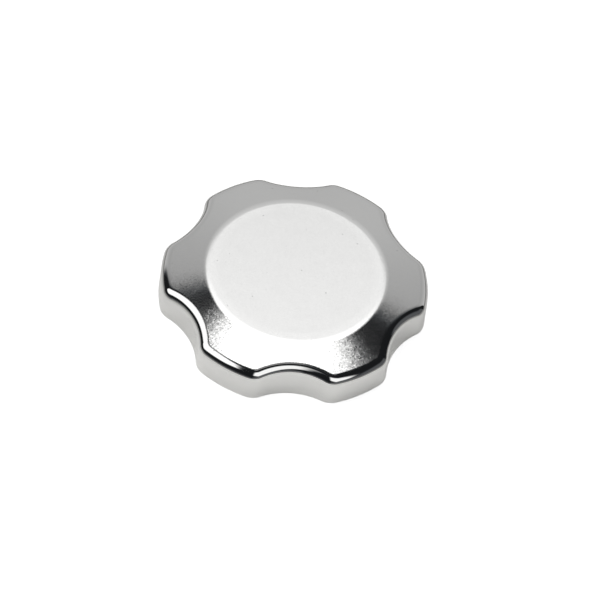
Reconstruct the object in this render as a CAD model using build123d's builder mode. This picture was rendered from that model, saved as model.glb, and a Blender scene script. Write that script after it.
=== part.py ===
from build123d import *
import os
from math import hypot, radians, tan

# Bayonet fuel tank cap: a pressed, plated shell with finger flutes, and under it the inner cover,
# the seal, the vent parts and the sprung claw that locks on the tank's filler neck.
# The origin is the centre of the rim that the cap stands on, and +Z runs up through the crown.
# Sizes are in millimetres and angles in degrees.

# Shell, measured on its outer surface
lobe_radius = 35.0
flute_count = 6
flute_depth = 4.0
flute_radius = 17.8
lobe_corner_radius = 5.1
shell_height = 11.5
shell_sheet = 0.8
skirt_draft = 2.0
edge_radius = 2.7
cone_angle = 14.0
crown_radius = 23.2
crown_blend_radius = 8.0
rim_round = 0.25

# Inner cover: a pressed pan whose flange is projection-welded under the crown
cover_sheet = 0.8
pan_radius = 17.4
pan_corner_radius = 1.6
flange_corner_radius = 1.4
flange_lip_depth = 1.4
flange_clearance = 0.3
weld_count = 6
weld_boss_inset = 2.4
weld_boss_radius = 1.7
weld_boss_draft = 30.0

# Seal ring
seal_width = 6.2
seal_thickness = 2.5
seal_clearance = 0.06
seal_edge_round = 0.4

# Claw that turns under the lips of the neck
neck_lip_gap = 2.3
claw_sheet = 1.0
claw_disc_inset = 1.8
claw_inner_corner_radius = 1.5
ear_reach = 4.0
ear_width = 13.0
ear_pan_clearance = 0.7
ear_bend_radius = 1.0
ear_ramp_length = 3.4
ear_ramp_drop = 0.9
ear_stop_height = 1.6
claw_travel = 1.0

# Drive pips of the cover, which turn the claw with the cap
pip_count = 2
pip_radius = 2.2
pip_circle_radius = 10.6
pip_reach = 2.2
pip_sheet = 0.7
pip_round = 0.5
pip_clearance = 0.2

# Leaf spring, shoulder rivet and washers
spring_sheet = 0.4
spring_width = 9.0
spring_half_length = 12.6
spring_contact_radius = 11.2
spring_seat_half_length = 4.6
spring_tip_drop = 0.3
spring_bend_radius = 3.0
spring_tip_radius = 0.8
spring_end_round = 2.0
shank_radius = 3.0
shank_clearance = 0.1
rivet_head_radius = 4.7
rivet_head_thickness = 0.9
rivet_head_round = 0.4
tenon_radius = 2.2
fixed_bore_clearance = 0.05
thrust_washer_radius = 5.6
thrust_washer_thickness = 0.4
backing_washer_radius = 5.0
backing_washer_thickness = 0.5
upset_radius = 3.6
upset_height = 1.0
upset_round = 0.5

# Vent parts
vent_hole_radius = 1.0
vent_circle_radius = 11.4
vent_angle = 45.0
vent_window_radius = 1.8
baffle_sheet = 0.4
baffle_floor_radius = 6.4
baffle_rim_width = 2.4
baffle_wall_gap = 1.0
baffle_bend_radius = 1.2
baffle_hole_radius = 0.9
baffle_hole_circle_radius = 9.8
baffle_hole_count = 3
baffle_hole_angle = 105.0
foam_rivet_clearance = 0.2
foam_wall_clearance = 0.3

# Radii and places worked out from the sizes above
flute_angle = 180.0 / flute_count
flute_centre_distance = lobe_radius - flute_depth + flute_radius
flange_radius = pan_radius + seal_width + cover_sheet
weld_circle_radius = pan_radius + weld_boss_inset
claw_disc_radius = pan_radius - claw_disc_inset
claw_span_radius = pan_radius + ear_reach
pan_bore_radius = pan_radius - cover_sheet
tenon_bore_radius = tenon_radius + fixed_bore_clearance


def crown_corner(inset):
    """Radius at which the crown's flat meets the cone, on a surface moved inward by inset."""
    return crown_radius - inset * tan(radians(cone_angle / 2))


def cone_height(radius, inset):
    """Height of the cone at a radius, on a surface moved inward by inset."""
    return shell_height - inset - (radius - crown_corner(inset)) * tan(radians(cone_angle))


# Heights, from the crown down to the rivet's head and then from the pan's floor up
crown_underside = shell_height - shell_sheet
cone_over_flange = cone_height(flange_radius, shell_sheet)
flange_top = min(crown_underside, cone_over_flange) - flange_clearance
weld_boss_height = crown_underside - flange_top
seal_top = flange_top - cover_sheet
seal_face = seal_top - seal_thickness
claw_top = seal_face - neck_lip_gap
claw_underside = claw_top - claw_sheet
spring_seat = claw_underside - claw_travel - spring_sheet
rivet_head_top = spring_seat - thrust_washer_thickness
rivet_head_face = rivet_head_top - rivet_head_thickness
pan_floor = claw_top + cover_sheet
baffle_top = pan_floor + baffle_sheet
backing_washer_top = baffle_top + backing_washer_thickness
upset_top = backing_washer_top + upset_height
foam_underside = upset_top + foam_rivet_clearance


def cap_outline(inset):
    """The skirt's outline, moved inward by inset: a circle with rounded finger flutes."""
    with BuildSketch() as outline:
        Circle(lobe_radius - inset)
        with PolarLocations(flute_centre_distance, flute_count, start_angle=flute_angle):
            Circle(flute_radius + inset, mode=Mode.SUBTRACT)
        fillet(outline.vertices(), lobe_corner_radius - inset)
    return outline.sketch


def cap_form(inset):
    """The cap as a full solid, moved inward by inset, so that two of them bound an even sheet."""
    reach = lobe_radius + flute_depth
    rim_outline = cap_outline(inset)
    top_outline = cap_outline(inset + shell_height * tan(radians(skirt_draft)))
    with BuildPart() as form:
        with BuildSketch():
            add(rim_outline)
        with BuildSketch(Plane.XY.offset(shell_height)):
            add(top_outline)
        loft(ruled=True)
        with BuildSketch(Plane.XZ):
            with BuildLine():
                FilletPolyline(
                    (0, shell_height - inset),
                    (crown_corner(inset), shell_height - inset),
                    (reach, cone_height(reach, inset)),
                    radius=crown_blend_radius - inset,
                )
                Polyline(
                    (reach, cone_height(reach, inset)),
                    (reach, 0),
                    (0, 0),
                    (0, shell_height - inset),
                )
            make_face()
        revolve(axis=Axis.Z, mode=Mode.INTERSECT)
        cone_face = form.faces().sort_by(Axis.Z)[-3]
        curved_edges = cone_face.edges().filter_by(GeomType.LINE, reverse=True)
        fillet(curved_edges.sort_by(Axis.Z)[:-1], edge_radius - inset)
    return form.part


def bent_sheet(points, bend_radii, thickness):
    """Section of a sheet along a bent line, with the bend radii on the line in its middle."""
    with BuildSketch() as section:
        with BuildLine() as middle:
            FilletPolyline(*points, radius=bend_radii)
        trace(middle.line, line_width=thickness)
    return section.sketch


# The plated shell, pressed from one sheet
outer_form = cap_form(0)
inner_form = cap_form(shell_sheet)
with BuildPart() as cap_shell:
    add(outer_form)
    add(inner_form, mode=Mode.SUBTRACT)
    rim = cap_shell.faces().sort_by(Axis.Z)[0]
    fillet(rim.edges(), rim_round)
cap_shell.part.label = "cap_shell"

# The inner cover, with its weld bosses, drive pips and vent hole
half_cover = cover_sheet / 2
cover_line = [
    (tenon_bore_radius, claw_top + half_cover),
    (pan_radius - half_cover, claw_top + half_cover),
    (pan_radius - half_cover, flange_top - half_cover),
    (flange_radius - half_cover, flange_top - half_cover),
    (flange_radius - half_cover, seal_top - flange_lip_depth),
]
cover_bends = [pan_corner_radius, flange_corner_radius, flange_corner_radius]
cover_section = bent_sheet(cover_line, cover_bends, cover_sheet)
boss_narrowing = cover_sheet * tan(radians(weld_boss_draft)) / 2
with BuildPart() as inner_cover:
    with BuildSketch(Plane.XZ):
        add(cover_section)
    revolve(axis=Axis.Z)
    with BuildSketch(Plane.XY.offset(flange_top)):
        with PolarLocations(weld_circle_radius, weld_count, start_angle=flute_angle):
            Circle(weld_boss_radius)
    extrude(amount=weld_boss_height, taper=weld_boss_draft)
    with BuildSketch(Plane.XY.offset(seal_top)):
        with PolarLocations(weld_circle_radius, weld_count, start_angle=flute_angle):
            Circle(weld_boss_radius - boss_narrowing)
    extrude(amount=weld_boss_height, taper=weld_boss_draft, mode=Mode.SUBTRACT)
    with BuildSketch(Plane.XY.offset(claw_top)):
        with PolarLocations(pip_circle_radius, pip_count, start_angle=90):
            Circle(pip_radius)
    extrude(amount=-pip_reach)
    pip_tips = inner_cover.faces().sort_by(Axis.Z)[:pip_count]
    fillet(pip_tips.edges(), pip_round)
    with BuildSketch(Plane.XY.offset(pan_floor)):
        with PolarLocations(pip_circle_radius, pip_count, start_angle=90):
            Circle(pip_radius - pip_sheet)
    extrude(amount=pip_sheet - cover_sheet - pip_reach, mode=Mode.SUBTRACT)
    with BuildSketch(Plane.XY.offset(pan_floor)):
        with PolarLocations(vent_circle_radius, 1, start_angle=vent_angle):
            Circle(vent_hole_radius)
    extrude(amount=-cover_sheet, mode=Mode.SUBTRACT)
inner_cover.part.label = "inner_cover"

# The seal ring, held between the pan's wall and the flange's lip
with BuildPart() as seal_ring:
    with BuildSketch(Plane.XY.offset(seal_face)):
        Circle(pan_radius + seal_width - seal_clearance)
        Circle(pan_radius + seal_clearance, mode=Mode.SUBTRACT)
    extrude(amount=seal_thickness)
    fillet(seal_ring.edges().group_by(Axis.Z)[0], seal_edge_round)
    fillet(seal_ring.edges().group_by(Axis.Z)[-1], flange_corner_radius - half_cover)
seal_ring.part.label = "seal_ring"

# The claw: a disc with two ears, each bent down into a lead-in ramp and up into a stop
claw_middle = claw_top - claw_sheet / 2
ear_start = pan_radius + ear_pan_clearance
ramp_start = ear_width / 2 - ear_ramp_length
stop_bend_end = ear_bend_radius - ear_width / 2
neck_width = ramp_start - ear_bend_radius / 4 - stop_bend_end
neck_middle = stop_bend_end + neck_width / 2
ear_line = [
    (-ear_width / 2, claw_middle + ear_stop_height),
    (-ear_width / 2, claw_middle),
    (ramp_start, claw_middle),
    (ear_width / 2, claw_middle - ear_ramp_drop),
]
ear_section = bent_sheet(ear_line, [ear_bend_radius, ear_bend_radius], claw_sheet)
with BuildPart() as claw_ear:
    with BuildSketch(Plane.YZ.offset(ear_start)):
        add(ear_section)
    extrude(amount=claw_span_radius - ear_start)
    with BuildSketch(Plane.XY.offset(rivet_head_face)):
        Circle(claw_span_radius)
    extrude(amount=shell_height, mode=Mode.INTERSECT)
with BuildPart() as lock_claw:
    with BuildSketch(Plane.XY.offset(claw_underside)) as claw_plan:
        Circle(claw_disc_radius)
        with PolarLocations(0, 2):
            with Locations((ear_start / 2, neck_middle)):
                Rectangle(ear_start, neck_width)
        neck_roots = claw_plan.vertices().filter_by(
            lambda corner: abs(hypot(corner.X, corner.Y) - claw_disc_radius) < claw_sheet / 10
        )
        fillet(neck_roots, claw_inner_corner_radius)
    extrude(amount=claw_sheet)
    with PolarLocations(0, 2):
        add(claw_ear.part)
    with BuildSketch(Plane.XY.offset(claw_top)):
        Circle(shank_radius + shank_clearance)
        with PolarLocations(pip_circle_radius, pip_count, start_angle=90):
            Circle(pip_radius + pip_clearance)
        with PolarLocations(vent_circle_radius, 2, start_angle=vent_angle):
            Circle(vent_window_radius)
    extrude(amount=-claw_sheet, mode=Mode.SUBTRACT)
lock_claw.part.label = "lock_claw"

# The leaf spring, bowed between the claw and the washer on the rivet's head
half_spring = spring_sheet / 2
contact_height = claw_underside - half_spring
seat_height = spring_seat + half_spring
spring_line = [
    (-spring_half_length, contact_height - spring_tip_drop),
    (-spring_contact_radius, contact_height),
    (-spring_seat_half_length, seat_height),
    (spring_seat_half_length, seat_height),
    (spring_contact_radius, contact_height),
    (spring_half_length, contact_height - spring_tip_drop),
]
spring_bends = [spring_tip_radius, spring_bend_radius, spring_bend_radius, spring_tip_radius]
spring_section = bent_sheet(spring_line, spring_bends, spring_sheet)
with BuildPart() as leaf_spring:
    with BuildSketch(Plane.XZ):
        add(spring_section)
    extrude(amount=spring_width / 2, both=True)
    with BuildSketch(Plane.XY.offset(rivet_head_face)):
        RectangleRounded(2 * spring_half_length, spring_width, spring_end_round)
        Circle(shank_radius + shank_clearance, mode=Mode.SUBTRACT)
    extrude(amount=shell_height, mode=Mode.INTERSECT)
leaf_spring.part.label = "leaf_spring"

# The washer that the spring bears on
with BuildPart() as thrust_washer:
    with BuildSketch(Plane.XY.offset(rivet_head_top)):
        Circle(thrust_washer_radius)
        Circle(shank_radius + fixed_bore_clearance, mode=Mode.SUBTRACT)
    extrude(amount=thrust_washer_thickness)
thrust_washer.part.label = "thrust_washer"

# The washer under the rivet's upset end, inside the pan
with BuildPart() as backing_washer:
    with BuildSketch(Plane.XY.offset(baffle_top)):
        Circle(backing_washer_radius)
        Circle(tenon_bore_radius, mode=Mode.SUBTRACT)
    extrude(amount=backing_washer_thickness)
backing_washer.part.label = "backing_washer"

# The shoulder rivet: its shank guides the claw, and its tenon is upset over the backing washer
with BuildPart() as shoulder_rivet:
    with BuildSketch(Plane.XZ):
        with BuildLine():
            Polyline(
                (0, rivet_head_face),
                (rivet_head_radius, rivet_head_face),
                (rivet_head_radius, rivet_head_top),
                (shank_radius, rivet_head_top),
                (shank_radius, claw_top),
                (tenon_radius, claw_top),
                (tenon_radius, backing_washer_top),
                (upset_radius, backing_washer_top),
                (upset_radius, upset_top),
                (0, upset_top),
                close=True,
            )
        make_face()
    revolve(axis=Axis.Z)
    rivet_circles = shoulder_rivet.edges().filter_by(GeomType.CIRCLE).sort_by(Axis.Z)
    fillet(rivet_circles[0], rivet_head_round)
    fillet(rivet_circles[-1], upset_round)
shoulder_rivet.part.label = "shoulder_rivet"

# The splash baffle: a dished disc over the vent hole, whose rim carries the foam
half_baffle = baffle_sheet / 2
baffle_radius = pan_bore_radius - baffle_wall_gap
baffle_line = [
    (tenon_bore_radius, pan_floor + half_baffle),
    (baffle_floor_radius, pan_floor + half_baffle),
    (baffle_radius - baffle_rim_width, foam_underside - half_baffle),
    (baffle_radius, foam_underside - half_baffle),
]
baffle_section = bent_sheet(baffle_line, [baffle_bend_radius] * 2, baffle_sheet)
with BuildPart() as splash_baffle:
    with BuildSketch(Plane.XZ):
        add(baffle_section)
    revolve(axis=Axis.Z)
    with BuildSketch(Plane.XY.offset(pan_floor)):
        with PolarLocations(
            baffle_hole_circle_radius, baffle_hole_count, start_angle=baffle_hole_angle
        ):
            Circle(baffle_hole_radius)
    extrude(amount=foam_underside - pan_floor, mode=Mode.SUBTRACT)
splash_baffle.part.label = "splash_baffle"

# The vent foam, which fills the pan between the baffle and the crown
with BuildPart() as vent_foam:
    with BuildSketch(Plane.XY.offset(foam_underside)):
        Circle(pan_bore_radius - foam_wall_clearance)
    extrude(amount=crown_underside - foam_underside)
vent_foam.part.label = "vent_foam"

pieces = [
    cap_shell,
    inner_cover,
    seal_ring,
    lock_claw,
    leaf_spring,
    thrust_washer,
    backing_washer,
    shoulder_rivet,
    splash_baffle,
    vent_foam,
]

os.makedirs("parts", exist_ok=True)
for piece in pieces:
    export_step(piece.part, f"parts/{piece.part.label}.step")
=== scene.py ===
from math import acos, atan2, cos, pi, radians, sin, tan

import bpy
from mathutils import Matrix, Vector


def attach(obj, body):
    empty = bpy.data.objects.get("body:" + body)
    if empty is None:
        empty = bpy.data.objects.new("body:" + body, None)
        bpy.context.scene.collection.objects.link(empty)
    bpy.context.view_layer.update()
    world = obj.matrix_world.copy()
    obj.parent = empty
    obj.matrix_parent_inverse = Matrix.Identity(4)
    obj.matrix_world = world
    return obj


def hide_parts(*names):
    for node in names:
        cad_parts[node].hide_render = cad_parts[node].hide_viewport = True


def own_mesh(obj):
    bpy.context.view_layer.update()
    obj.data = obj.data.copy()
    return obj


# A chrome fuel tank cap on a white table. Lengths are in metres, and the frame is the solids' own:
# the origin is the middle of the rim that the cap stands on, and +Z runs up through the crown.

MM = 0.001

# The plated shell, as its solid has it
LOBE_RADIUS = 35.0 * MM
FLUTE_COUNT = 6
FLUTE_DEPTH = 4.0 * MM
FLUTE_RADIUS = 17.8 * MM
LOBE_CORNER_RADIUS = 5.1 * MM
SHELL_HEIGHT = 11.5 * MM
SHELL_SHEET = 0.8 * MM
SKIRT_DRAFT = radians(2.0)
EDGE_RADIUS = 2.7 * MM
CONE_ANGLE = radians(14.0)
CROWN_RADIUS = 23.2 * MM
CROWN_BLEND_RADIUS = 8.0 * MM
RIM_ROUND = 0.25 * MM

# A soft shoulder between cone and edge, which the solid doesn't have
SHOULDER_TURN = radians(4.0)
SHOULDER_RADIUS = 9.0 * MM

# How finely the shell is meshed: steps round half a flute's pitch, then steps down the section
FLUTE_STEPS = 22
CORNER_STEPS = 24
LOBE_STEPS = 14
CROWN_STEPS = 5
BLEND_STEPS = 5
CONE_STEPS = 8
SHOULDER_STEPS = 3
EDGE_STEPS = 14
SKIRT_STEPS = 6
RIM_STEPS = 4
EDGE_HEIGHT_ROUNDS = 5

# The camera, as it stood for the photo. Lens and sensor are in millimetres.
VIEW_TURN = radians(-6.2)
VIEW_ELEVATION = radians(51.8)
VIEW_ROLL = radians(8.8)
VIEW_DISTANCE = 0.749
LENS = 172.2
SENSOR = 36.0
NEAREST_SEEN = 0.01
AIM_RIGHT = 1.99 * MM
AIM_DOWN = 0.63 * MM

UP = Vector((0, 0, 1))
DOWN = Vector((0, 0, -1))

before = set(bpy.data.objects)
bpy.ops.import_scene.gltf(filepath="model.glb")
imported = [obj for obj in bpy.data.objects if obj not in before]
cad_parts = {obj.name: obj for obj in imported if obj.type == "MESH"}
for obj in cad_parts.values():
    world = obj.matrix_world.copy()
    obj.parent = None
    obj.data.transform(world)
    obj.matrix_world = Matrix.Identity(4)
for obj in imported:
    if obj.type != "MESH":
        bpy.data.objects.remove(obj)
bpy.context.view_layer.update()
scene = bpy.context.scene


# Section and outline of the shell


def half_pitch():
    """Outline from the middle of a flute to the middle of a lobe, as (point, outward normal) pairs.

    The flute's middle lies on the X axis. The stretches are the flute's arc, the lobe's corner and
    the lobe itself.
    """
    flute_middle = Vector((LOBE_RADIUS - FLUTE_DEPTH + FLUTE_RADIUS, 0))
    corner_distance = LOBE_RADIUS - LOBE_CORNER_RADIUS
    touching = FLUTE_RADIUS + LOBE_CORNER_RADIUS
    corner_turn = acos(
        (corner_distance**2 + flute_middle.x**2 - touching**2)
        / (2 * corner_distance * flute_middle.x)
    )
    corner_middle = corner_distance * Vector((cos(corner_turn), sin(corner_turn)))
    to_flute = flute_middle - corner_middle
    corner_start = atan2(to_flute.y, to_flute.x)
    flute_end = -corner_start
    stations = []
    for step in range(FLUTE_STEPS):
        turn = flute_end * step / FLUTE_STEPS
        outward = Vector((cos(turn), -sin(turn)))
        stations.append((flute_middle - FLUTE_RADIUS * outward, outward))
    for step in range(CORNER_STEPS):
        turn = corner_start + (corner_turn - corner_start) * step / CORNER_STEPS
        outward = Vector((cos(turn), sin(turn)))
        stations.append((corner_middle + LOBE_CORNER_RADIUS * outward, outward))
    for step in range(LOBE_STEPS + 1):
        turn = corner_turn + (pi / FLUTE_COUNT - corner_turn) * step / LOBE_STEPS
        outward = Vector((cos(turn), sin(turn)))
        stations.append((LOBE_RADIUS * outward, outward))
    return stations


def rim_outline():
    """Whole outline at the rim, counter-clockwise, with a lobe on +X."""
    half = half_pitch()
    mirrored = [
        (Vector((point.x, -point.y)), Vector((outward.x, -outward.y)))
        for point, outward in reversed(half[1:])
    ]
    pitch = mirrored + half[:-1]
    stations = []
    for flute in range(FLUTE_COUNT):
        turn = Matrix.Rotation(2 * pi * (flute + 0.5) / FLUTE_COUNT, 2)
        stations += [(turn @ point, turn @ outward) for point, outward in pitch]
    return stations


def blend_between(first, second, share):
    """Unit vector on the arc between two unit vectors."""
    angle = acos(max(-1.0, min(1.0, first.dot(second))))
    return (sin((1 - share) * angle) * first + sin(share * angle) * second) / sin(angle)


def drafted(outward):
    """The skirt's normal where the outline's normal is outward."""
    return Vector((*(outward * cos(SKIRT_DRAFT)), sin(SKIRT_DRAFT)))


def upper_side(point, outward, inset):
    """One section of the shell's surface from the crown to the skirt's foot.

    It gives (place, normal, satin) rows, on the outer surface or moved inward by inset. The satin
    value is 1 where the steel was blasted before it was plated, and 0 where it was polished.
    """
    wall_normal = drafted(outward)
    edge_radius = EDGE_RADIUS - inset
    shoulder_gain = SHOULDER_RADIUS - EDGE_RADIUS
    sink = shoulder_gain * (1 - cos(SHOULDER_TURN))
    # The edge is a ball that rolls between wall and cone. Its height and its reach hang together,
    # so each is worked out from the other until they settle.
    height = SHELL_HEIGHT
    for _ in range(EDGE_HEIGHT_ROUNDS):
        reach = inset + height * tan(SKIRT_DRAFT) + edge_radius / cos(SKIRT_DRAFT)
        ball = point - reach * outward
        height = (
            SHELL_HEIGHT
            - (ball.length - CROWN_RADIUS) * tan(CONE_ANGLE)
            - (EDGE_RADIUS + sink) / cos(CONE_ANGLE)
        )
    ball = Vector((*ball, height))
    away = ball.xy.normalized()
    cone_normal = Vector((*(away * sin(CONE_ANGLE)), cos(CONE_ANGLE)))
    rows = []

    blend_radius = CROWN_BLEND_RADIUS - inset
    top = SHELL_HEIGHT - inset
    corner = CROWN_RADIUS - inset * tan(CONE_ANGLE / 2)
    flat_radius = corner - blend_radius * tan(CONE_ANGLE / 2)
    for step in range(1, CROWN_STEPS + 1):
        place = Vector((*(away * flat_radius * step / CROWN_STEPS), top))
        rows.append((place, UP, 1.0))
    blend_middle = Vector((*(away * flat_radius), top - blend_radius))
    for step in range(1, BLEND_STEPS + 1):
        turn = CONE_ANGLE * step / BLEND_STEPS
        normal = Vector((*(away * sin(turn)), cos(turn)))
        rows.append((blend_middle + blend_radius * normal, normal, 1.0))

    edge_turn = acos(cone_normal.dot(wall_normal))
    edge_normal = blend_between(cone_normal, wall_normal, SHOULDER_TURN / edge_turn)
    shoulder_middle = ball - shoulder_gain * edge_normal
    cone_start = rows[-1][0]
    cone_end = shoulder_middle + (edge_radius + shoulder_gain) * cone_normal
    for step in range(1, CONE_STEPS):
        rows.append((cone_start.lerp(cone_end, step / CONE_STEPS), cone_normal, 1.0))
    for step in range(SHOULDER_STEPS):
        share = step / SHOULDER_STEPS
        normal = blend_between(cone_normal, edge_normal, share)
        place = shoulder_middle + (edge_radius + shoulder_gain) * normal
        rows.append((place, normal, 1 - share))
    for step in range(EDGE_STEPS + 1):
        normal = blend_between(edge_normal, wall_normal, step / EDGE_STEPS)
        rows.append((ball + edge_radius * normal, normal, 0.0))

    side = 1 if inset == 0 else -1
    foot_height = RIM_ROUND * (1 + side * sin(SKIRT_DRAFT))
    wall_top = rows[-1][0]
    foot = Vector((*(point - (inset + foot_height * tan(SKIRT_DRAFT)) * outward), foot_height))
    for step in range(1, SKIRT_STEPS):
        rows.append((wall_top.lerp(foot, step / SKIRT_STEPS), wall_normal, 0.0))
    return rows


def rim_corner(point, outward, inset, side):
    """Quarter round at the foot of the skirt, on its outer side (1) or its inner side (-1)."""
    wall_normal = drafted(outward) * side
    reach = inset + RIM_ROUND * tan(SKIRT_DRAFT) + side * RIM_ROUND / cos(SKIRT_DRAFT)
    middle = Vector((*(point - reach * outward), RIM_ROUND))
    normals = [blend_between(wall_normal, DOWN, step / RIM_STEPS) for step in range(RIM_STEPS + 1)]
    return [(middle + RIM_ROUND * normal, normal, 0.0) for normal in normals]


def shell_mesh():
    """The shell as one closed skin with exact normals.

    Each column runs from the crown's middle down the outside, round the rim and up the inside.
    """
    rows = []
    for point, outward in rim_outline():
        outer = upper_side(point, outward, 0.0) + rim_corner(point, outward, 0.0, 1)
        inner = [
            (place, -normal, 0.0) for place, normal, _ in upper_side(point, outward, SHELL_SHEET)
        ]
        inner += rim_corner(point, outward, SHELL_SHEET, -1)
        rows.append(outer + inner[::-1])
    ring_count = len(rows[0])
    outer_count = ring_count // 2
    places, normals, satin, inside = [], [], [], []
    for column in rows:
        for ring, (place, normal, value) in enumerate(column):
            places.append(place)
            normals.append(normal)
            satin.append(value)
            inside.append(0.0 if ring < outer_count else 1.0)
    crown_middle = len(places)
    places += [UP * SHELL_HEIGHT, UP * (SHELL_HEIGHT - SHELL_SHEET)]
    normals += [UP, DOWN]
    satin += [1.0, 0.0]
    inside += [0.0, 1.0]
    faces = []
    for index in range(len(rows)):
        here = index * ring_count
        there = (index + 1) % len(rows) * ring_count
        faces.append((crown_middle, here, there))
        faces.append((crown_middle + 1, there + ring_count - 1, here + ring_count - 1))
        for ring in range(ring_count - 1):
            faces.append((here + ring, here + ring + 1, there + ring + 1, there + ring))
    mesh = bpy.data.meshes.new("shell_skin")
    mesh.from_pydata(places, [], faces)
    for name, values in (("satin", satin), ("inside", inside)):
        attribute = mesh.attributes.new(name, "FLOAT", "POINT")
        attribute.data.foreach_set("value", values)
    mesh.shade_smooth()
    mesh.normals_split_custom_set_from_vertices(normals)
    return mesh


def new_piece(name, mesh):
    """Puts the mesh in the scene under the name."""
    piece = bpy.data.objects.new(name, mesh)
    scene.collection.objects.link(piece)
    return piece


# Shader nodes


# What most noise spans: its lowest and highest values are rare
NOISE_SPAN = (0.3, 0.7)
NUMBER_OPERATIONS = ("LENGTH", "DISTANCE", "DOT_PRODUCT")


class Shader:
    """A node tree with short calls for what the materials share."""

    def __init__(self, tree):
        self.tree = tree
        tree.nodes.clear()

    def node(self, kind, inputs=None, **settings):
        made = self.tree.nodes.new(kind)
        for name, value in settings.items():
            setattr(made, name, value)
        for name, value in (inputs or {}).items():
            self.feed(made.inputs[name], value)
        return made

    def feed(self, socket, value):
        if isinstance(value, bpy.types.NodeSocket):
            self.tree.links.new(value, socket)
        else:
            socket.default_value = value

    def finish(self, output_kind, surface):
        """Gives the surface to the tree's output."""
        output = self.node(output_kind)
        self.tree.links.new(surface.outputs[0], output.inputs["Surface"])

    def math(self, operation, first, second=0.0, clamp=False):
        made = self.node("ShaderNodeMath", {0: first, 1: second}, operation=operation)
        made.use_clamp = clamp
        return made.outputs[0]

    def vector(self, operation, first, second=None):
        """Vector arithmetic, which gives a vector or, for a length or a product, a number."""
        inputs = {0: first}
        if operation == "SCALE":
            inputs["Scale"] = second
        elif second is not None:
            inputs[1] = second
        made = self.node("ShaderNodeVectorMath", inputs, operation=operation)
        return made.outputs["Value" if operation in NUMBER_OPERATIONS else "Vector"]

    def fade(self, value, low, high, start=0.0, end=1.0):
        """A smooth step: start at or below low, end at or above high."""
        made = self.node(
            "ShaderNodeMapRange",
            {"Value": value, "From Min": low, "From Max": high, "To Min": start, "To Max": end},
            interpolation_type="SMOOTHSTEP",
        )
        return made.outputs["Result"]

    def wander(self, noise, low, high):
        """A value that goes from low to high and back as the noise does."""
        return self.fade(noise, *NOISE_SPAN, low, high)

    def mix(self, share, first, second):
        """Two colours, mixed."""
        made = self.node("ShaderNodeMix", data_type="RGBA")
        self.feed(made.inputs["Factor"], share)
        self.feed(made.inputs["A"], first)
        self.feed(made.inputs["B"], second)
        return made.outputs["Result"]

    def attribute(self, name):
        return self.node("ShaderNodeAttribute", attribute_name=name).outputs["Fac"]

    def place(self, stretch=(1.0, 1.0, 1.0)):
        """The point on the piece, in metres, with each axis scaled."""
        source = self.node("ShaderNodeTexCoord").outputs["Object"]
        return self.node("ShaderNodeMapping", {"Vector": source, "Scale": stretch}).outputs[0]

    def reach(self):
        """The distance from the cap's axis."""
        return self.vector("LENGTH", self.vector("MULTIPLY", self.place(), (1, 1, 0)))

    def noise(self, size, detail=2.0, roughness=0.5, stretch=(1.0, 1.0, 1.0)):
        """Noise whose features are about size across."""
        made = self.node(
            "ShaderNodeTexNoise",
            {
                "Vector": self.place(stretch),
                "Scale": 1 / size,
                "Detail": detail,
                "Roughness": roughness,
            },
        )
        return made.outputs["Fac"]

    def cells(self, size):
        """Cells about size across, each with its own random colour."""
        return self.node("ShaderNodeTexVoronoi", {"Vector": self.place(), "Scale": 1 / size})

    def facets(self, size, tilt):
        """The surface's normal, leaning a little at random from one grain to the next."""
        lean = self.vector("SUBTRACT", self.cells(size).outputs["Color"], (0.5, 0.5, 0.5))
        # Cubed, so that most grains stay nearly level and a few lean far
        cubed = self.vector("MULTIPLY", self.vector("MULTIPLY", lean, lean), lean)
        straight = self.node("ShaderNodeNewGeometry").outputs["Normal"]
        total = self.vector("ADD", straight, self.vector("SCALE", cubed, tilt))
        return self.vector("NORMALIZE", total)

    def bump(self, height, depth, normal=None):
        made = self.node("ShaderNodeBump", {"Height": height, "Distance": depth, "Strength": 1.0})
        if normal is not None:
            self.feed(made.inputs["Normal"], normal)
        return made.outputs["Normal"]


def new_material(name):
    material = bpy.data.materials.new(name)
    material.use_nodes = True
    return material, Shader(material.node_tree)


def principled(shader, colour, rough, normal, metallic=0.0):
    """Ends the tree in one plain surface."""
    inputs = {"Base Color": colour, "Metallic": metallic, "Roughness": rough, "Normal": normal}
    shader.finish("ShaderNodeOutputMaterial", shader.node("ShaderNodeBsdfPrincipled", inputs))


def grey(level, tint=(1.0, 1.0, 1.0)):
    return (level * tint[0], level * tint[1], level * tint[2], 1.0)


# Materials. A pair is the range that a value wanders through, and a tint scales a grey.

CHROME = grey(0.84, (1.0, 0.998, 0.99))
CHROME_INSIDE = grey(0.62, (1.0, 0.99, 0.96))
CHROME_SPECK = grey(0.25)
CHROME_CLOUD = 6 * MM
CONE_ROUGH = (0.095, 0.108)
CROWN_ROUGH = (0.23, 0.25)
CROWN_ENDS = (19.5 * MM, 22.3 * MM)
SKIRT_ROUGH = (0.05, 0.07)
INSIDE_ROUGH = 0.42
GRAIN = 0.28 * MM
GRAIN_TILT = 0.105
WAVE = 5 * MM
WAVE_DEPTH = 0.01 * MM
SPECK = 0.9 * MM
SPECK_EDGE = (0.79, 0.82)


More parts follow.
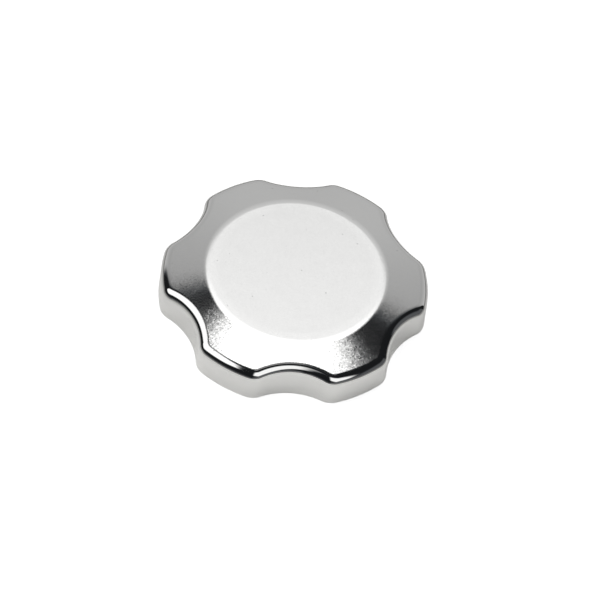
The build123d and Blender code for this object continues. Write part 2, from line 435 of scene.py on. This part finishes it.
def chrome_plate():
    """Chrome: soft satin on the crown, bright satin on the cone, polished from the edge down."""
    material, shader = new_material("chrome_plate")
    satin = shader.attribute("satin")
    inside = shader.attribute("inside")
    cloud = shader.noise(CHROME_CLOUD, detail=3)
    cone_rough = shader.wander(cloud, *CONE_ROUGH)
    crown_rough = shader.wander(cloud, *CROWN_ROUGH)
    satin_rough = shader.fade(shader.reach(), *CROWN_ENDS, crown_rough, cone_rough)
    skirt_rough = shader.wander(cloud, *SKIRT_ROUGH)
    polished = shader.math("SUBTRACT", 1.0, satin)
    rough = shader.math(
        "ADD",
        shader.math("MULTIPLY", satin, satin_rough),
        shader.math("MULTIPLY", polished, skirt_rough),
    )
    rough = shader.math("MAXIMUM", rough, shader.math("MULTIPLY", inside, INSIDE_ROUGH))
    grain = shader.facets(GRAIN, shader.math("MULTIPLY", satin, GRAIN_TILT))
    normal = shader.bump(shader.noise(WAVE, detail=1), WAVE_DEPTH, grain)
    speck = shader.fade(shader.noise(SPECK, detail=1), *SPECK_EDGE)
    plate = shader.mix(speck, shader.mix(inside, CHROME, CHROME_INSIDE), CHROME_SPECK)
    principled(shader, plate, rough, normal, metallic=1.0)
    return material


STEEL_CLOUD = 3.5 * MM
STEEL_SPOT = 1.4 * MM
STEEL_SPOT_EDGE = (0.55, 0.75)
STEEL_SPOT_DARK = 0.8
MARKS_ROUGH = 0.06


def plated_steel(name, level, tint, rough_range, marks, mark_depth):
    """Zinc-plated or plain steel: a cloudy sheen over the marks that its shaping left."""
    material, shader = new_material(name)
    cloud = shader.noise(STEEL_CLOUD, detail=4, roughness=0.6)
    spots = shader.fade(shader.noise(STEEL_SPOT, detail=3), *STEEL_SPOT_EDGE)
    plate = shader.mix(spots, grey(level, tint), grey(STEEL_SPOT_DARK * level, tint))
    height = marks(shader)
    rough = shader.wander(cloud, *rough_range)
    rough = shader.math("ADD", rough, shader.math("MULTIPLY", height, MARKS_ROUGH), clamp=True)
    principled(shader, plate, rough, shader.bump(height, mark_depth), metallic=1.0)
    return material


SHEET_DENT = 0.9 * MM
SHEET_LINE = 0.14 * MM
SHEET_LINE_STRETCH = (0.03, 1.0, 1.0)
SHEET_LINE_SHARE = 0.3
STRIP_LINE = 0.25 * MM
STRIP_LINE_STRETCH = (0.04, 1.0, 1.0)
TURNED_PITCH = 0.22 * MM
TURNED_SHARE = 0.5
TURNED_NOISE = 0.6 * MM


def pressed_marks(shader):
    """Sheet that was drawn over a tool: soft dents, and the mill's fine lines along X."""
    dents = shader.noise(SHEET_DENT, detail=3, roughness=0.6)
    lines = shader.noise(SHEET_LINE, detail=1, stretch=SHEET_LINE_STRETCH)
    return shader.math("ADD", dents, shader.math("MULTIPLY", lines, SHEET_LINE_SHARE))


def rolled_marks(shader):
    """Fine lines along X, as the strip left the mill."""
    return shader.noise(STRIP_LINE, detail=2, stretch=STRIP_LINE_STRETCH)


def turned_marks(shader):
    """Rings round Z, as a tool leaves them on a turned face."""
    phase = shader.math("MULTIPLY", shader.reach(), 2 * pi / TURNED_PITCH)
    rings = shader.math("MULTIPLY", shader.math("SINE", phase), TURNED_SHARE)
    return shader.math("ADD", rings, shader.noise(TURNED_NOISE))


RUBBER = grey(0.028, (1, 1, 1.05))
RUBBER_BLOOM = grey(0.05, (1, 1, 1.03))
RUBBER_CLOUD = 4 * MM
RUBBER_CLOUD_EDGE = (0.4, 0.75)
RUBBER_ROUGH = (0.5, 0.66)
RUBBER_SHEEN = 1.5 * MM
RUBBER_TOOTH = 0.18 * MM
RUBBER_TOOTH_DEPTH = 0.01 * MM


def seal_rubber():
    """Moulded nitrile rubber: matt, with a fine tooth and a faint bloom."""
    material, shader = new_material("seal_rubber")
    cloud = shader.noise(RUBBER_CLOUD, detail=4, roughness=0.6)
    colour = shader.mix(shader.fade(cloud, *RUBBER_CLOUD_EDGE), RUBBER, RUBBER_BLOOM)
    rough = shader.wander(shader.noise(RUBBER_SHEEN, detail=2), *RUBBER_ROUGH)
    tooth = shader.bump(shader.noise(RUBBER_TOOTH, detail=2), RUBBER_TOOTH_DEPTH)
    principled(shader, colour, rough, tooth)
    return material


FOAM_CELL = 0.7 * MM
FOAM_RIB_EDGE = (0.25, 0.7)
FOAM_CELL_SHADE = grey(0.03)
FOAM_RIB = grey(0.12)
FOAM_ROUGH = 0.9
FOAM_DEPTH = 0.15 * MM


def filter_foam():
    """Open-cell foam: lighter ribs, with painted shade in the sunken cells between them."""
    material, shader = new_material("filter_foam")
    # Painted shade: the cells, which the bump sinks, are darker than the ribs round them
    ribs = shader.fade(shader.cells(FOAM_CELL).outputs["Distance"], *FOAM_RIB_EDGE)
    colour = shader.mix(ribs, FOAM_CELL_SHADE, FOAM_RIB)
    principled(shader, colour, FOAM_ROUGH, shader.bump(ribs, FOAM_DEPTH))
    return material


# Camera, light and floor


def view_axes():
    """The camera's right, up and back directions before it is rolled."""
    right = Vector((cos(VIEW_TURN), sin(VIEW_TURN), 0))
    back = Vector(
        (
            sin(VIEW_TURN) * cos(VIEW_ELEVATION),
            -cos(VIEW_TURN) * cos(VIEW_ELEVATION),
            sin(VIEW_ELEVATION),
        )
    )
    return right, back.cross(right), back


def add_camera():
    """The camera looks past the cap's origin, which lies a little off the picture's middle."""
    right, up, back = view_axes()
    rolled_right = cos(VIEW_ROLL) * right + sin(VIEW_ROLL) * up
    rolled_up = cos(VIEW_ROLL) * up - sin(VIEW_ROLL) * right
    place = VIEW_DISTANCE * back + AIM_RIGHT * rolled_right - AIM_DOWN * rolled_up
    data = bpy.data.cameras.new("camera")
    data.lens = LENS
    data.sensor_width = SENSOR
    data.sensor_fit = "HORIZONTAL"
    data.clip_start = NEAREST_SEEN
    camera = bpy.data.objects.new("camera", data)
    scene.collection.objects.link(camera)
    turned = Matrix((rolled_right, rolled_up, back)).transposed()
    camera.matrix_world = Matrix.Translation(place) @ turned.to_4x4()
    scene.camera = camera


def studio_direction(azimuth, elevation):
    """Direction in the studio: azimuth 0 is behind the cap as the camera sees it, and 90 its right."""
    turn = radians(90 - azimuth) + VIEW_TURN
    rise = radians(elevation)
    return Vector((cos(turn) * cos(rise), sin(turn) * cos(rise), sin(rise)))


# What stands round the table, as flat cards, from the lowest layer to the top one. Each card has
# its brightness at its lowest and its highest point, and its corners as (azimuth, elevation,
# softness) in degrees, where the softness belongs to the edge that starts at that corner.
LOW_LEFT_CARD = (0.06, 0.06, ((-100, -5, 8), (-100, 10, 8), (-140, 12, 8), (-178, 14, 8), (-178, -5, 8)))
LOW_RIGHT_CARD = (0.15, 0.12, ((104, -5, 8), (104, 14, 8), (130, 16, 8), (178, 14, 8), (178, -5, 8)))
RIGHT_WALL = (0.12, 0.08, ((73, -6, 4), (74, 28, 12), (98, 34, 12), (122, 24, 12), (122, -6, 8)))
BACK_WALL = (
    0.57,
    0.35,
    (
        (-61, -6, 10),
        (-61.5, 16, 10),
        (-55, 30, 8),
        (-50, 43, 8),
        (-44, 56, 16),
        (42, 50, 8),
        (57, 40, 3),
        (57.5, -6, 3),
    ),
)
BACK_WALL_GLOW = (0.5, 0.68, ((-14, 18, 20), (-31, 50, 20), (31, 50, 20), (14, 18, 20)))
LEFT_SOFTBOX = (
    1.2,
    1.2,
    (
        (-68, 37, 5),
        (-76, 25.5, 5),
        (-88, 23.5, 5),
        (-97, 22.5, 5),
        (-124, 36.5, 5),
        (-136, 41, 5),
        (-143, 50, 4),
        (-99.5, 76.3, 1.5),
        (-69.2, 74.6, 2),
        (-51.2, 54.3, 3),
    ),
)
RIGHT_SOFTBOX = (
    1.1,
    1.1,
    ((127, 54, 8), (122, 31, 8), (128, 22, 8), (150, 20, 8), (178, 34, 10), (174, 66, 8)),
)
OVERHEAD_FILL = (
    0.24,
    0.24,
    ((-26.6, 81.1, 3), (-150.9, 84.1, 4), (138.4, 83.1, 4), (35.5, 80.2, 3)),
)
TOP_PANEL = (
    0.62,
    1.9,
    (
        (-18.5, 43.5, 5),
        (-46.6, 64.1, 2),
        (-55.7, 75.1, 1.5),
        (-20.6, 85.1, 2),
        (51.1, 77.0, 3),
        (46.5, 67.3, 5),
        (18.5, 43.5, 8),
    ),
)
STUDIO_CARDS = (
    LOW_LEFT_CARD,
    LOW_RIGHT_CARD,
    RIGHT_WALL,
    BACK_WALL,
    BACK_WALL_GLOW,
    LEFT_SOFTBOX,
    RIGHT_SOFTBOX,
    OVERHEAD_FILL,
    TOP_PANEL,
)

# The dark between the cards, and the light from below the horizon, which falls off from the front
# to the back. What is darker than COOL_BELOW has a cool tint.
STUDIO_DARK = 0.011
HORIZON = (-0.05, 0.0)
BELOW_FRONT = 0.8
BELOW_BACK = 0.35
BELOW_FADE = (-0.8, 0.8)
COOL_TINT = (0.93, 1.0, 1.1)
COOL_BELOW = 0.2


def studio_world():
    """The cards light the cap and show in it, while the camera sees plain white past it."""
    world = bpy.data.worlds.new("studio")
    scene.world = world
    world.use_nodes = True
    shader = Shader(world.node_tree)
    ray = shader.node("ShaderNodeTexCoord").outputs["Generated"]
    parts = shader.node("ShaderNodeSeparateXYZ", {0: ray}).outputs
    below = shader.fade(parts["Y"], *BELOW_FADE, BELOW_FRONT, BELOW_BACK)
    light = shader.fade(parts["Z"], *HORIZON, below, STUDIO_DARK)
    for low_level, high_level, corners in STUDIO_CARDS:
        light = lay_card(shader, ray, light, low_level, high_level, corners)
    tint = shader.mix(shader.fade(light, 0.0, COOL_BELOW), grey(1.0, COOL_TINT), grey(1.0))
    shade = shader.node("ShaderNodeBackground", {"Color": tint, "Strength": light})
    white = shader.node("ShaderNodeBackground", {"Color": grey(1.0)})
    seen = shader.node("ShaderNodeLightPath").outputs["Is Camera Ray"]
    both = shader.node(
        "ShaderNodeMixShader", {0: seen, 1: shade.outputs[0], 2: white.outputs[0]}
    )
    shader.finish("ShaderNodeOutputWorld", both)


def lay_card(shader, ray, light, low_level, high_level, corners):
    """Lays one card over the light so far: a ray is on it if it is inside all its edges."""
    points = [studio_direction(azimuth, elevation) for azimuth, elevation, _ in corners]
    middle = sum(points, Vector((0, 0, 0))).normalized()
    cover = 1.0
    for start, end, corner in zip(points, points[1:] + points[:1], corners):
        inward = start.cross(end).normalized()
        if inward.dot(middle) < 0:
            inward = -inward
        soft = sin(radians(corner[2])) / 2
        side = shader.fade(shader.vector("DOT_PRODUCT", ray, inward), -soft, soft)
        cover = shader.math("MULTIPLY", cover, side)
    heights = [point.z for point in points]
    level = shader.node(
        "ShaderNodeMapRange",
        {
            "Value": shader.node("ShaderNodeSeparateXYZ", {0: ray}).outputs["Z"],
            "From Min": min(heights),
            "From Max": max(heights),
            "To Min": low_level,
            "To Max": high_level,
        },
    )
    made = shader.node("ShaderNodeMix", {"Factor": cover, "A": light, "B": level.outputs["Result"]})
    return made.outputs["Result"]


# The table top, out to FLOOR_REACH. What reflects it sees a warm pool of light round the cap, which
# is painted into the top's colour and glow. It dims from the first to the second of POOL_REACH, and
# the camera sees it lifted to white.
FLOOR_REACH = 4.0
FLOOR_ALBEDO = 0.85
WHITE_LIFT = 0.76
POOL_ALBEDO = 1.5
POOL_TINT = (1.0, 0.998, 0.975)
POOL_GLOW = 0.03
POOL_MIDDLE = (0.0, -0.02, 0.0)
POOL_SQUEEZE = 1.4
POOL_REACH = (0.02, 0.14)
POOL_DIM = 0.25


def add_floor():
    """The table top, open where the cap's hollow stands on it, so that light reaches in from below."""
    inner = [point - SHELL_SHEET / 2 * outward for point, outward in rim_outline()]
    outer = [point.normalized() * FLOOR_REACH for point in inner]
    count = len(inner)
    faces = []
    for index in range(count):
        following = (index + 1) % count
        faces.append((index, count + index, count + following, following))
    mesh = bpy.data.meshes.new("floor")
    mesh.from_pydata([Vector((*point, 0)) for point in inner + outer], [], faces)
    floor = new_piece("floor", mesh)
    mesh.materials.append(white_table())


def white_table():
    """A white top that is clear from below, so that views from there look up into the cap."""
    material, shader = new_material("white_table")
    path = shader.node("ShaderNodeLightPath").outputs
    # Painted pool of light: the colour and glow that reflections see brighten towards POOL_MIDDLE
    squeezed = shader.place((POOL_SQUEEZE, 1.0, 1.0))
    pool = shader.fade(
        shader.vector("DISTANCE", squeezed, POOL_MIDDLE), *POOL_REACH, 1.0, POOL_DIM
    )
    pool_colour = shader.mix(pool, grey(0.0), grey(POOL_ALBEDO, POOL_TINT))
    colour = shader.mix(path["Is Glossy Ray"], grey(FLOOR_ALBEDO), pool_colour)
    diffuse = shader.node("ShaderNodeBsdfDiffuse", {"Color": colour})
    pool_glow = shader.math("MULTIPLY", pool, POOL_GLOW)
    glow = shader.mix(path["Is Camera Ray"], pool_glow, grey(WHITE_LIFT))
    lift = shader.node("ShaderNodeEmission", {"Color": glow})
    front = shader.node("ShaderNodeAddShader", {0: diffuse.outputs[0], 1: lift.outputs[0]})
    clear = shader.node("ShaderNodeBsdfTransparent")
    behind = shader.node("ShaderNodeNewGeometry").outputs["Backfacing"]
    both = shader.node(
        "ShaderNodeMixShader", {0: behind, 1: front.outputs[0], 2: clear.outputs[0]}
    )
    shader.finish("ShaderNodeOutputMaterial", both)
    return material


add_camera()
studio_world()
add_floor()

shell = new_piece("plated_shell", shell_mesh())
shell.data.materials.append(chrome_plate())
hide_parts("cap_shell")
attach(shell, "cap")

# Each steel with its grey, tint, roughness range, marks and their depth
ZINC_TINT = (0.97, 0.99, 1.02)
STRIP_TINT = (1.0, 0.99, 0.97)
STEEL_TINT = (1, 1, 1.01)
TURNED_DEPTH = 0.004 * MM
ROLLED_DEPTH = 0.006 * MM
SHEET_DEPTH = 0.015 * MM
ZINC_SHEET_DEPTH = 0.026 * MM

washer = plated_steel("washer_steel", 0.67, ZINC_TINT, (0.24, 0.36), turned_marks, TURNED_DEPTH)
finishes = {
    "inner_cover": plated_steel(
        "zinc_plate", 0.74, ZINC_TINT, (0.2, 0.34), pressed_marks, ZINC_SHEET_DEPTH
    ),
    "lock_claw": plated_steel(
        "zinc_plate_claw", 0.72, ZINC_TINT, (0.22, 0.38), pressed_marks, ZINC_SHEET_DEPTH
    ),
    "seal_ring": seal_rubber(),
    "thrust_washer": washer,
    "backing_washer": washer,
    "shoulder_rivet": plated_steel(
        "rivet_steel", 0.73, STEEL_TINT, (0.2, 0.3), turned_marks, TURNED_DEPTH
    ),
    "splash_baffle": plated_steel(
        "baffle_steel", 0.63, STEEL_TINT, (0.3, 0.4), pressed_marks, SHEET_DEPTH
    ),
    "vent_foam": filter_foam(),
}
for node, finish in finishes.items():
    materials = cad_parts[node].data.materials
    materials.clear()
    materials.append(finish)

# The spring strip is its own copy of the leaf spring's mesh, in spring steel, and the leaf spring is
# hidden
spring = new_piece("spring_strip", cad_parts["leaf_spring"].data.copy())
spring.data.materials.clear()
spring.data.materials.append(
    plated_steel("spring_steel", 0.42, STRIP_TINT, (0.26, 0.36), rolled_marks, ROLLED_DEPTH)
)
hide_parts("leaf_spring")
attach(spring, "cap")
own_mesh(spring)

scene.view_settings.view_transform = "Standard"
